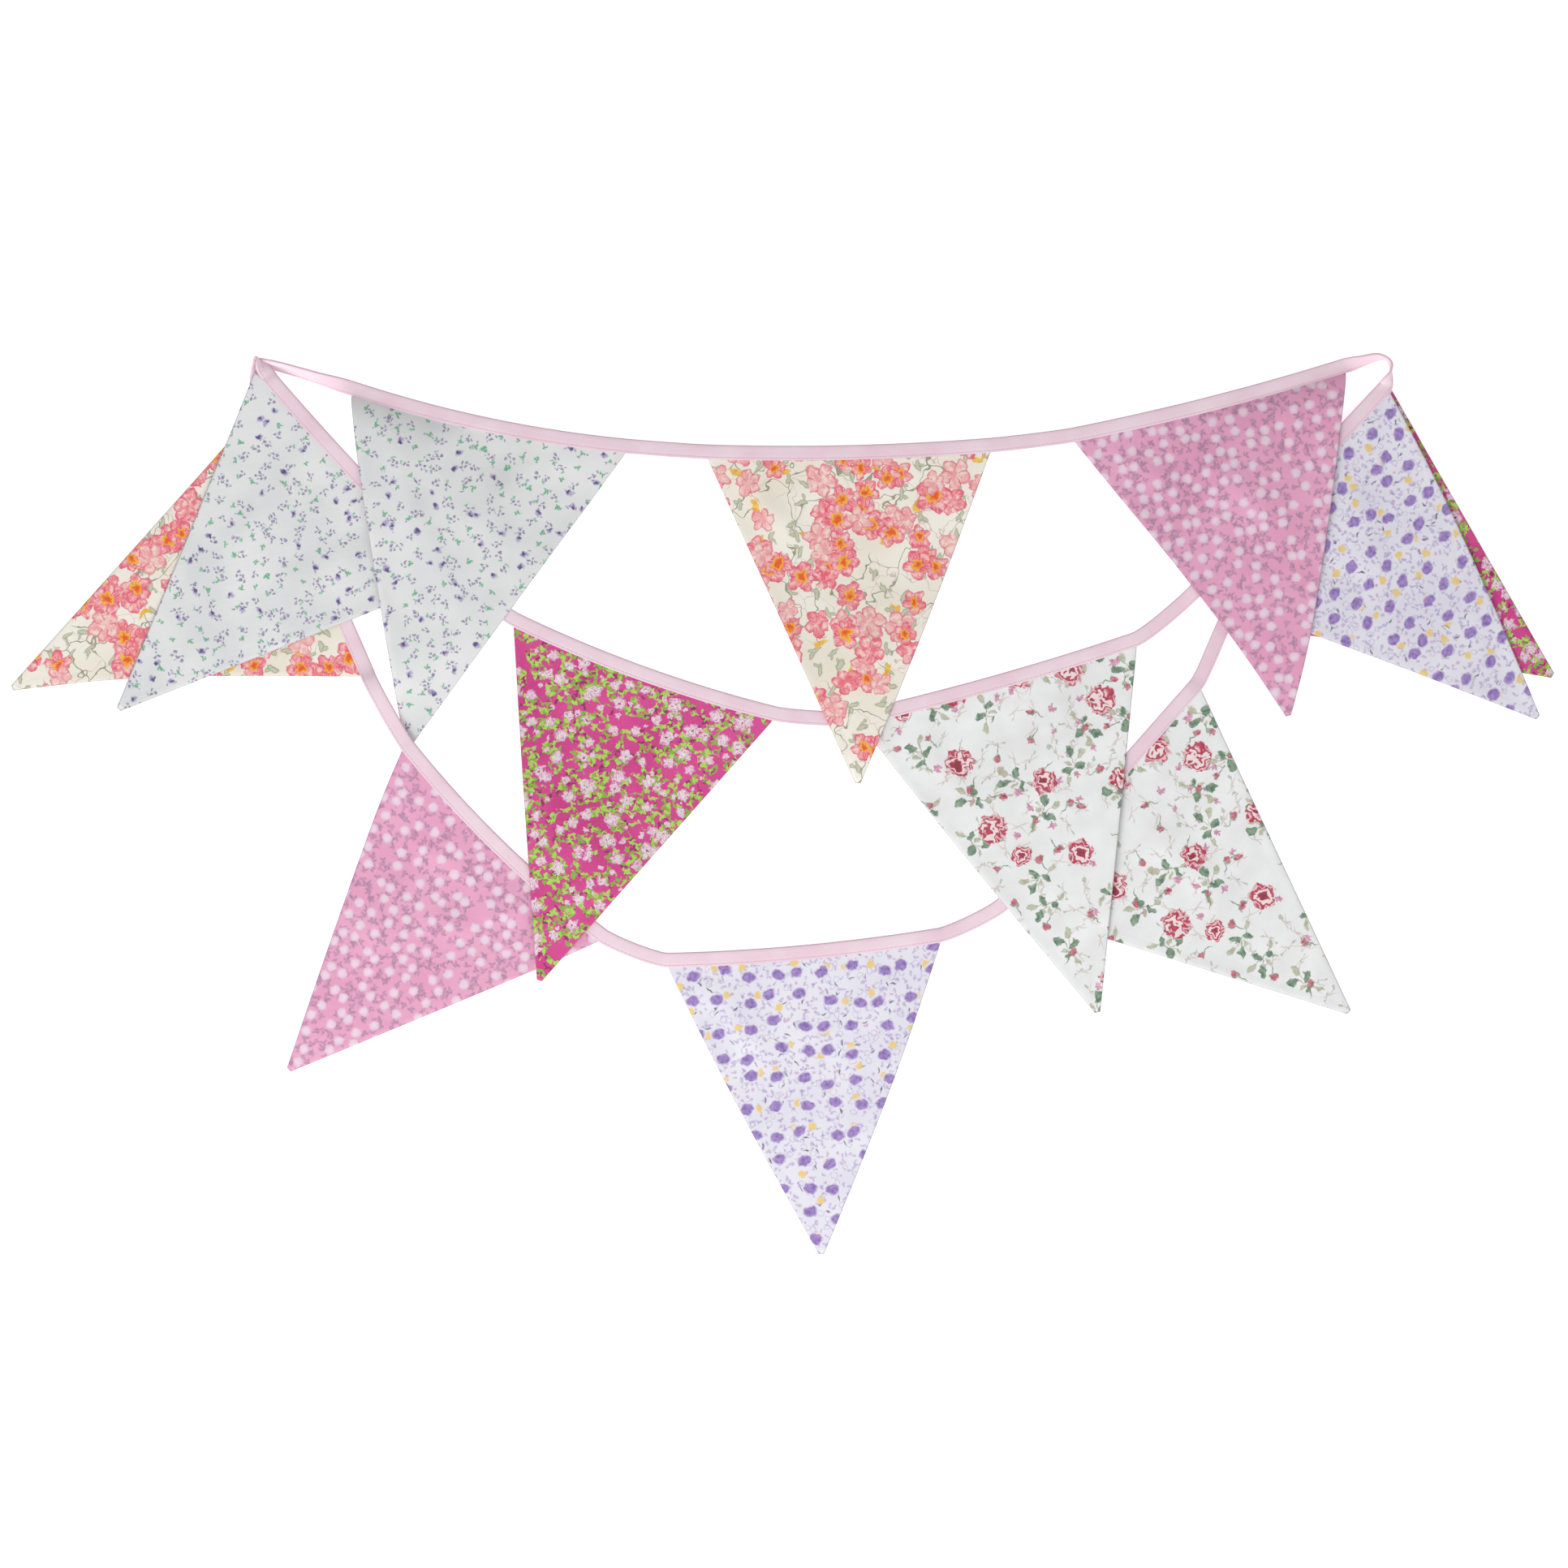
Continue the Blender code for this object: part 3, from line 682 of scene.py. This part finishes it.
class PennantShape:
    def __init__(self, number):
        self.number = number
        self.row = row = pennants[number - 1]
        self.name = f"{number:02}_{row.cotton}"
        self.start = Vector((row.x0, row.y0))
        run = Vector((row.x1, row.y1)) - self.start
        self.length = run.length
        self.run = run.normalized()
        self.inward = self.towardsTip(self.run)
        self.tip = self.start + run / 2 + self.run * row.lean + self.inward * row.drop

    def towardsTip(self, run):
        # across the tape's run, on the side where the pennant hangs
        side = -1 if self.row.roll == 180 else 1
        return side * Vector((run.y, -run.x))

    def point(self, share, drop):
        # on the sheet, a share of the way along its row and so far down from the head
        row = self.row
        down = drop / row.drop
        edge = self.start + self.run * self.length * share
        edge += self.inward * row.bow * 4 * share * (1 - share)
        tip = self.tip + self.run * pennantSettings["tipWidth"] * (share - 0.5)
        bend = down / row.bend if down < row.bend else (1 - down) / (1 - row.bend)
        bulge = (row.side1 * share - row.side0 * (1 - share)) * math.sin(math.pi / 2 * max(bend, 0))
        return edge + (tip - edge) * down + self.run * bulge

    def printPlace(self, point):
        # along the head from its left end, and down from it, whichever way the tape runs
        offset = point - self.start
        along = offset.dot(self.run)
        return (self.length - along if self.row.roll == 180 else along), -offset.dot(self.inward)


def creaseHeight(number, u, v):
    height = 0
    for u0, v0, u1, v1, halfWidth, tall in creases.get(number, []):
        a = Vector((u0, v0))
        along = Vector((u1, v1)) - a
        share = (Vector((u, v)) - a).dot(along) / along.length_squared
        nearest = a + along * min(max(share, 0), 1)
        # wanders off its line, so that no crease is ruler-straight
        wander = noise.noise(Vector((u * 0.03, v * 0.03, number))) * pennantSettings["wander"]
        distance = (Vector((u, v)) - nearest).length + wander
        fadeOut = math.sin(math.pi * min(max(share * 0.8 + 0.1, 0), 1))
        height += tall * fadeOut * math.exp(-((distance / halfWidth) ** 2))
    return height


def pennantGrid(shape, rowDrops):
    # each row's points on the plane, and how far each lies from the sheet's edge
    s = pennantSettings
    points = []
    margins = []
    for drop in rowDrops:
        width = (shape.point(1, drop) - shape.point(0, drop)).length
        squeeze = min(1, width / s["narrowBelow"])
        left = [margin * squeeze for margin in s["margins"]]
        inner = np.linspace(left[-1], width - left[-1], s["innerColumns"] + 2)[1:-1]
        places = left + list(inner) + [width - margin for margin in reversed(left)]
        shares = [place / width for place in places]
        if drop < 0:
            inset = s["cornerInset"]
            last = s["headShare"].get(shape.number, 1)
            shares = [inset + share * (last - 2 * inset) for share in shares]
        points.append([shape.point(share, drop) for share in shares])
        toTip = shape.row.drop - drop
        margins.append([min(place, width - place, toTip) for place in places])
    return points, margins


def lyingHeights(shape, points):
    # read off the solid just inside each point, then smoothed below the tape
    s = pennantSettings
    held = slice(s["heldRows"])
    heights = np.zeros((len(points), len(points[0])))
    middle = shape.start + shape.run * shape.length / 2 + shape.inward * shape.row.drop / 3
    for i, line in enumerate(points):
        for j, point in enumerate(line):
            inside = point + (middle - point).normalized() * s["readInset"]
            heights[i, j] = middleHeight("pennant_" + shape.name, inside.x, inside.y, 2)
    level = s["levelColumns"]
    heights[held, :level] = heights[held, level : level + 1]
    heights[held, -level:] = heights[held, -level - 1 : -level]
    head = heights[held].copy()
    for _ in range(s["smoothing"]):
        padded = np.pad(heights, 1, mode="edge")
        around = (padded[:-2, 1:-1] + padded[2:, 1:-1] + padded[1:-1, :-2] + padded[1:-1, 2:]) / 4
        heights = (1 - s["smoothShare"]) * heights + s["smoothShare"] * around
        heights[held] = head
    return heights


def rippledHeights(shape, points, rowDrops):
    s = pennantSettings
    heights = lyingHeights(shape, points)
    for i, line in enumerate(points):
        free = min(max((rowDrops[i] - s["freeFrom"]) / s["freeOver"], 0), 1)
        for j, point in enumerate(line):
            u, v = shape.printPlace(point)
            wide = Vector((u / s["rippleSize"], v / s["rippleSize"], shape.number * 3.7))
            fine = Vector((u / s["fineSize"], v / s["fineSize"], shape.number * 1.9))
            ripple = noise.noise(wide) + s["fineShare"] * noise.noise(fine)
            heights[i, j] += free * (creaseHeight(shape.number, u, -v) + s["ripple"] * ripple)
    return np.maximum(heights, s["lowest"])


def halfThickness(margin):
    # thicker over the seam inside the edge, and rounded off at the edge itself
    s = pennantSettings
    seam = s["seamThickness"] * min(1, max(0, (s["seamEnd"] - margin) / s["seamSlope"]))
    return (s["halfThickness"] + seam) * math.sqrt(min(1, max(0, s["rimStart"] + margin)))


def startCloth():
    bm = bmesh.new()
    bm.loops.layers.uv.new("cloth")
    return bm


def finishCloth(bm, name, placeOf, sharpAngle=180):
    # smooth but for its sharp edges, with each corner's place on the flat cloth (mm) as its UV
    bmesh.ops.recalc_face_normals(bm, faces=bm.faces)
    for edge in bm.edges:
        edge.smooth = edge.calc_face_angle(0) <= math.radians(sharpAngle)
    uvLayer = bm.loops.layers.uv["cloth"]
    for face in bm.faces:
        face.smooth = True
        for loop in face.loops:
            loop[uvLayer].uv = Vector(placeOf(loop.vert)) * mm
    mesh = bpy.data.meshes.new(name)
    bm.to_mesh(mesh)
    bm.free()
    return mesh


def pennantMesh(name, shape):
    s = pennantSettings
    span = shape.row.drop - s["firstRow"]
    shares = [(step / s["rows"]) ** s["rowSpread"] for step in range(s["rows"] + 1)]
    rowDrops = [*s["tapeRows"], *(s["firstRow"] + span * share for share in shares)]
    points, margins = pennantGrid(shape, rowDrops)
    heights = rippledHeights(shape, points, rowDrops)
    bm = startCloth()
    marginLayer = bm.verts.layers.float.new("margin")
    sheets = []
    for top in (1, -1):
        sheet = []
        for i, line in enumerate(points):
            row = []
            for j, point in enumerate(line):
                margin = margins[i][j]
                half = halfThickness(margin)
                lift = max(heights[i, j], half + s["clearance"]) + top * half
                vert = bm.verts.new((point.x * mm, point.y * mm, lift * mm))
                vert[marginLayer] = margin if rowDrops[i] > 1 else 10  # no edge shade at the tape
                row.append(vert)
            sheet.append(row)
        sheets.append(sheet)
    upper, lower = sheets
    lastRow = len(points) - 1
    lastColumn = len(points[0]) - 1
    for i in range(lastRow):
        for j in range(lastColumn):
            bm.faces.new([upper[i][j], upper[i][j + 1], upper[i + 1][j + 1], upper[i + 1][j]])
            bm.faces.new([lower[i + 1][j], lower[i + 1][j + 1], lower[i][j + 1], lower[i][j]])
    rim = [(0, j) for j in range(lastColumn)] + [(i, lastColumn) for i in range(lastRow)]
    rim += [(lastRow, j) for j in range(lastColumn, 0, -1)] + [(i, 0) for i in range(lastRow, 0, -1)]
    for (i, j), (k, m) in zip(rim, rim[1:] + rim[:1]):
        bm.faces.new([upper[i][j], lower[i][j], lower[k][m], upper[k][m]])
    return finishCloth(bm, name, lambda vert: shape.printPlace(vert.co.xy / mm))


def makePennant(number):
    shape = PennantShape(number)
    mesh = pennantMesh("cloth_" + shape.name, shape)
    piece = newObject(mesh.name, mesh)
    mesh.materials.append(printedCotton(number, shape.row))
    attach(piece, "root")
    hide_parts("pennant_" + shape.name)
    return piece


pennantPieces = [makePennant(number) for number in range(1, len(pennants) + 1)]
print("pennants made")

tapeSettings = {
    "width": 9.5,
    "solidLeaf": 0.8,  # the solid tape's own leaf and the gap between its leaves
    "solidShut": 0.3,
    "halfPlain": 0.75,
    "headExtra": 0.2,
    "slotAtHead": 0.5,
    "slotPlain": 0.06,
    "slotDepth": 7.2,
    "grooveDepth": 0.4,
    "dip": 0.12,  # of the faces under the stitches and at the open edge
    "headSteps": 26,
    "gapSteps": 10,
    "turnSteps": 6,
    "gapMargin": 0.05,
    "gapPull": 0.5,
    "headGap": 1,  # a turn's stations keep this far from a head's end
    "heightEasing": 4,
    "headEasing": 8,
    "sharpAngle": 48,
}

Station = namedtuple("Station", "middle run roll number lift turning")


def headStations(number):
    # along a pennant's bowed head, which lies along the tape's open edge
    s = tapeSettings
    shape = PennantShape(number)
    stations = []
    last = pennantSettings["headShare"].get(number, 1)
    for step in range(s["headSteps"] + 1):
        t = last * step / s["headSteps"]
        slope = shape.run * shape.length + shape.inward * shape.row.bow * 4 * (1 - 2 * t)
        slope.normalize()
        middle = shape.point(t, 0) - shape.towardsTip(slope) * s["width"] / 2
        stations.append(Station(middle, slope, shape.row.roll, number, None, False))
    return stations


def gapStations(a, b):
    # a smooth bend from the end of one head to the start of the next
    reach = (b.middle - a.middle).length * tapeSettings["gapPull"]
    low = tapeSettings["gapMargin"]
    stations = []
    for step in range(tapeSettings["gapSteps"]):
        t = low + (1 - 2 * low) * step / (tapeSettings["gapSteps"] - 1)
        here = (2 * t**3 - 3 * t**2 + 1) * a.middle + (t**3 - 2 * t**2 + t) * reach * a.run
        here += (3 * t**2 - 2 * t**3) * b.middle + (t**3 - t**2) * reach * b.run
        slope = (6 * t**2 - 6 * t) * (a.middle - b.middle)
        slope += (3 * t**2 - 4 * t + 1) * reach * a.run + (3 * t**2 - 2 * t) * reach * b.run
        stations.append(Station(here, slope.normalized(), b.roll, None, None, False))
    return stations


def turnStations(rows, a, b):
    # a smooth curve through a turn's rows, from one head's end to the next one's start
    knots = [Vector((row.x, row.y, row.roll, row.lift)) for row in rows]
    ends = [Vector((*end.middle, end.roll, 0)) for end in (a, b) if end]
    knots = ends[:-1] + knots + ends[-1:]
    padded = [2 * knots[0] - knots[1]] + knots + [2 * knots[-1] - knots[-2]]
    steps = tapeSettings["turnSteps"]
    stations = []
    for span in range(len(knots) - 1):
        p0, p1, p2, p3 = padded[span : span + 4]
        besideHead = (a and span == 0) or span == len(knots) - 2
        for step in range(steps):
            t = step / steps
            value = 2 * p1 + t * (p2 - p0) + t**2 * (2 * p0 - 5 * p1 + 4 * p2 - p3)
            value = (value + t**3 * (3 * p1 - p0 - 3 * p2 + p3)) / 2
            slope = (p2 - p0) + 2 * t * (2 * p0 - 5 * p1 + 4 * p2 - p3)
            slope += 3 * t**2 * (3 * p1 - p0 - 3 * p2 + p3)
            if any((value.xy - end.xy).length < tapeSettings["headGap"] for end in ends):
                continue
            lift = None if besideHead and t > 0 else max(value[3], 0)
            stations.append(Station(value.xy, slope.xy.normalized(), value[2], None, lift, True))
    return stations


def tapeRoute():
    heads = {number: headStations(number) for number in range(1, len(pennants) + 1)}
    route = []
    for number, head in heads.items():
        before = heads[number - 1][-1] if number > 1 else None
        rows = turns.get(number - 1)
        route += turnStations(rows, before, head[0]) if rows else gapStations(before, head[0])
        route += head
    return route


def easeOver(values, times):
    # takes the corners off a row of values without moving its ends
    values = np.array(values, float)
    for _ in range(times):
        values[1:-1] = 0.25 * values[:-2] + 0.5 * values[1:-1] + 0.25 * values[2:]
    return values


def tapeHeights(route):
    # the middle's height at each station: read off the solid, or from the turns' own rows
    s = tapeSettings
    plain = s["solidShut"] + 2 * s["solidLeaf"]
    heights = []
    for station in route:
        if station.turning and station.lift is None:
            heights.append(math.nan)
        elif station.turning:
            roll = math.radians(station.roll)
            tall = abs(math.sin(roll)) * s["width"] + abs(math.cos(roll)) * plain
            heights.append(station.lift + tall / 2)
        else:
            crossings = 4 if station.number else 2
            heights.append(middleHeight("bias_tape", *station.middle, crossings, station.roll != 360))
    heights = np.array(heights)
    known = np.flatnonzero(~np.isnan(heights))
    filled = np.interp(np.arange(len(heights)), known, heights[known])
    heights = easeOver(filled, s["heightEasing"])
    rolls = np.radians([station.roll for station in route])
    onEdge = np.abs(np.sin(rolls)) * s["width"] / 2
    onFace = np.abs(np.cos(rolls)) * tapeHalf(1)
    return np.maximum(heights, onEdge + onFace)  # so that no part is under the ground


def tapeHalf(share):
    # half its thickness, from plain tape (0) to tape that holds a pennant's head (1)
    return tapeSettings["halfPlain"] + tapeSettings["headExtra"] * share


def tapeProfile(half, slot, depth):
    # round the section, as (across, up): underside with the stitches' dip, soft fold, upper side, slot
    edge = tapeSettings["width"] / 2
    dip = tapeSettings["dip"] - half
    under = [(edge, dip), (edge - 0.5, -half), (edge - 1.3, dip), (edge - 2.1, -half)]
    under += [(1, -half), (-1.8, -half)]
    bends = [math.radians(-90 - 30 * step) for step in range(7)]
    fold = [(-edge + half + half * math.cos(bend), half * math.sin(bend)) for bend in bends]
    over = [(across, -up) for across, up in reversed(under)]
    inside = [(edge, slot), (edge - depth, slot * 0.6), (edge - depth, -slot * 0.6), (edge, -slot)]
    return under + fold + over + inside


Section = namedtuple("Section", "centre inward face share along")


def findSections():
    # where each section of the tape lies and which way it faces
    route = tapeRoute()
    heights = tapeHeights(route)
    atHead = [1 if station.number else 0 for station in route]
    eased = easeOver(atHead, tapeSettings["headEasing"])
    atHead = [max(own, float(value)) for own, value in zip(atHead, eased)]
    travelled = [0]
    for a, b in zip(route, route[1:]):
        travelled.append(travelled[-1] + (b.middle - a.middle).length)
    sections = []
    for station, height, share, along in zip(route, heights, atHead, travelled):
        roll = math.radians(station.roll)
        right = Vector((station.run.y, -station.run.x, 0))
        up = Vector((0, 0, 1))
        inward = math.cos(roll) * right - math.sin(roll) * up
        face = math.sin(roll) * right + math.cos(roll) * up
        centre = Vector((*station.middle, float(height)))
        sections.append(Section(centre, inward, face, share, along))
    return sections


def makeTape():
    s = tapeSettings
    sections = findSections()
    bm = startCloth()
    rings = []
    places = {}
    for centre, inward, face, share, along in sections:
        slot = s["slotPlain"] + (s["slotAtHead"] - s["slotPlain"]) * share**3
        depth = s["slotDepth"] if share > 0.99 else s["grooveDepth"]
        ring = []
        for across, up in tapeProfile(tapeHalf(share), slot, depth):
            vert = bm.verts.new((centre + across * inward + up * face) * mm)
            places[vert] = (along, across + s["width"] / 2)
            ring.append(vert)
        rings.append(ring)
    for ring, following in zip(rings, rings[1:]):
        for index in range(len(ring)):
            after = (index + 1) % len(ring)
            bm.faces.new([ring[index], ring[after], following[after], following[index]])
    bm.faces.new(rings[0])
    bm.faces.new(rings[-1])
    mesh = finishCloth(bm, "tape_cloth", places.get, s["sharpAngle"])
    mesh.materials.append(tapeCotton())
    return newObject(mesh.name, mesh), sections


tapePiece, tapeSections = makeTape()

# a row of stitches along the tape's open edge, on both faces
stitchSettings = {
    "fromEdge": 1.3,
    "pitch": 2.9,
    "long": 2.1,
    "thread": 0.34,
    "sunk": 0.08,
    "sides": 6,
    "rings": 4,
}


def stitchLine(sections):
    s = stitchSettings
    across = tapeSettings["width"] / 2 - s["fromEdge"]
    points = []
    edges = []
    for side in (1, -1):
        first = len(points)
        for section in sections:
            up = side * (tapeHalf(section.share) - s["sunk"])
            points.append((section.centre + across * section.inward + up * section.face) * mm)
        edges += [(index, index + 1) for index in range(first, len(points) - 1)]
    mesh = bpy.data.meshes.new("stitch_line")
    mesh.from_pydata(points, edges, [])
    return newObject("stitch_line", mesh)


def stitchTree(thread):
    s = stitchSettings
    tree = bpy.data.node_groups.new("stitches along a line", "GeometryNodeTree")
    face = tree.interface
    face.new_socket("Geometry", in_out="INPUT", socket_type="NodeSocketGeometry")
    for label in ("Pitch", "Stitch Length", "Thread Width"):
        face.new_socket(label, in_out="INPUT", socket_type="NodeSocketFloat")
    face.new_socket("Geometry", in_out="OUTPUT", socket_type="NodeSocketGeometry")
    given = addNode(tree, "NodeGroupInput").node.outputs
    curve = addNode(tree, "GeometryNodeMeshToCurve", [given["Geometry"]])
    spaced = addNode(
        tree, "GeometryNodeCurveToPoints", {"Curve": curve, "Length": given["Pitch"]}, mode="LENGTH"
    ).node.outputs
    radius = addNode(tree, "MULTIPLY", [given["Thread Width"], 0.5])
    ball = {"Segments": s["sides"], "Rings": s["rings"], "Radius": radius}
    stitch = addNode(tree, "GeometryNodeMeshUVSphere", ball)
    stretch = addNode(tree, "DIVIDE", [given["Stitch Length"], given["Thread Width"]])
    size = addNode(tree, "CombineXYZ", [1, 1, stretch])
    along = addNode(tree, "FunctionNodeAlignRotationToVector", {"Vector": spaced["Tangent"]}, axis="Z")
    copies = addNode(
        tree, "GeometryNodeInstanceOnPoints",
        {"Points": spaced["Points"], "Instance": stitch, "Rotation": along, "Scale": size},
    )
    real = addNode(tree, "GeometryNodeRealizeInstances", [copies])
    paint = addNode(tree, "GeometryNodeSetMaterial", {"Geometry": real, "Material": thread})
    addNode(tree, "NodeGroupOutput", [paint])
    return tree


def makeStitches(sections):
    line = stitchLine(sections)
    thread = threadMaterial()
    modifier = line.modifiers.new("stitches", "NODES")
    modifier.node_group = stitchTree(thread)
    wanted = {"Pitch": "pitch", "Stitch Length": "long", "Thread Width": "thread"}
    for socket in modifier.node_group.interface.items_tree:
        if socket.name in wanted:
            modifier[socket.identifier] = stitchSettings[wanted[socket.name]] * mm
    bpy.context.view_layer.update()
    made = line.evaluated_get(bpy.context.evaluated_depsgraph_get())
    mesh = bpy.data.meshes.new_from_object(made)
    mesh.name = "tape_stitches"
    bpy.data.objects.remove(line)
    mesh.shade_smooth()
    return newObject(mesh.name, mesh)


stitches = makeStitches(tapeSections)
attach(tapePiece, "root")
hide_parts("bias_tape")
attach(stitches, "root")
print("stitches made")

# places and sizes in metres, powers in watts
stageSettings = {
    "floor": "#F7F7F7",
    "floorHalf": 4,
    "floorBelow": 0.0002,
    "glow": 0.5,  # keeps the board white to its edges
    "world": 0.54,
    "lights": (
        ("key", (-0.8, -1.8, 1.15), 1.3, 40),
        ("fill", (1.4, 0.8, 1.8), 1.6, 4),
    ),
}


def makeStage(s):
    mesh = bpy.data.meshes.new("floor")
    side = s["floorHalf"]
    signs = ((-1, -1), (1, -1), (1, 1), (-1, 1))
    corners = [(side * x, side * y, -s["floorBelow"]) for x, y in signs]
    mesh.from_pydata(corners, [], [(0, 1, 2, 3)])
    floor = newObject("floor", mesh)
    # painted board: as matt as the cotton and even, so that only the cloth's edges and folds show
    look = {
        **dryCotton, "Base Color": linearColour(s["floor"]), "Sheen Weight": 0,
        "Emission Color": (1, 1, 1, 1), "Emission Strength": s["glow"],
    }
    mesh.materials.append(startMaterial("matt white studio board", look)[0])
    world = bpy.data.worlds.new("studio")
    world.use_nodes = True
    background = world.node_tree.nodes["Background"]
    background.inputs["Color"].default_value = (1, 1, 1, 1)
    background.inputs["Strength"].default_value = s["world"]
    bpy.context.scene.world = world
    for name, place, size, power in s["lights"]:
        data = bpy.data.lights.new(name, "AREA")
        data.size = size
        data.energy = power
        light = newObject(name, data)
        light.location = place
        light.rotation_euler = (-Vector(place)).to_track_quat("-Z", "Y").to_euler()
    bpy.context.scene.view_settings.view_transform = "Standard"


makeStage(stageSettings)
print("stage made")
